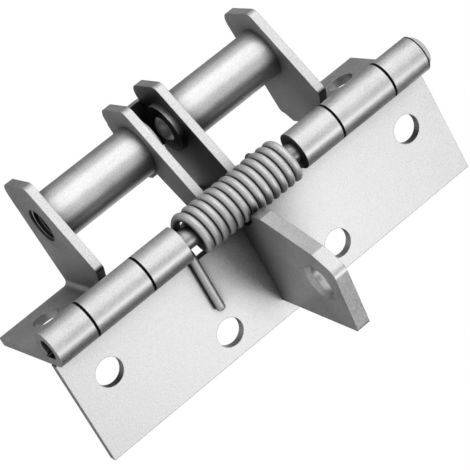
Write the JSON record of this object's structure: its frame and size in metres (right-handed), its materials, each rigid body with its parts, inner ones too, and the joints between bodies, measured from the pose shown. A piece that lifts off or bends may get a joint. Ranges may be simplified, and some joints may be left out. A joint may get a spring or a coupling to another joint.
{
  "type": "spring loaded door hinge",
  "caption": "Self-closing butt hinge with a torsion spring round its pin and a lug that sprung balls catch to hold the door open",
  "frame": {"origin": "centre of the frame leaf's two screw holes, on the leaf's back", "axes": "+X out of the back of the frame leaf, +Y out along it from the pin, +Z along the pin to its head"},
  "size_m": [0.0681, 0.0753, 0.129],
  "materials": {
    "plated_sheet": "satin",
    "turned_steel": "satin",
    "spring_wire": "satin",
    "polished_ball": "polished",
    "black_screw": "satin"
  },
  "bodies": {
    "frame_side": {"frame_leaf": "plated_sheet", "inner_channel": "plated_sheet", "hinge_pin": "turned_steel", "torsion_spring": "spring_wire", "lower_catch_tube": "turned_steel", "lower_set_screw": "black_screw", "lower_ball_spring": "spring_wire", "upper_catch_tube": "turned_steel", "upper_set_screw": "black_screw", "upper_ball_spring": "spring_wire"},
    "door_side": {"door_leaf": "plated_sheet", "catch_lug": "plated_sheet"},
    "lower_ball_body": {"lower_ball": "polished_ball"},
    "upper_ball_body": {"upper_ball": "polished_ball"}
  },
  "joints": [
    {"name": "leaf_swing", "type": "hinge", "parent": "frame_side", "child": "door_side", "pos_m": [-0.00545, -0.0283, 0], "axis": [0, 0, -1], "range_deg": [0, 191], "stiffness_Nm_per_rad": 0.5, "springref_deg": -60.16, "deforming": ["torsion_spring"]},
    {"name": "lower_ball_slide", "type": "slide", "parent": "frame_side", "child": "lower_ball_body", "axis": [0, 0, -1], "range_m": [0, 0.0015], "deforming": ["lower_ball_spring"]},
    {"name": "upper_ball_slide", "type": "slide", "parent": "frame_side", "child": "upper_ball_body", "axis": [0, 0, 1], "range_m": [0, 0.0015], "deforming": ["upper_ball_spring"]}
  ],
  "couplings": [
    {"joint": "lower_ball_slide", "follows": "leaf_swing", "m_per_rad": 0.00044997},
    {"joint": "upper_ball_slide", "follows": "leaf_swing", "m_per_rad": 0.00044997}
  ]
}
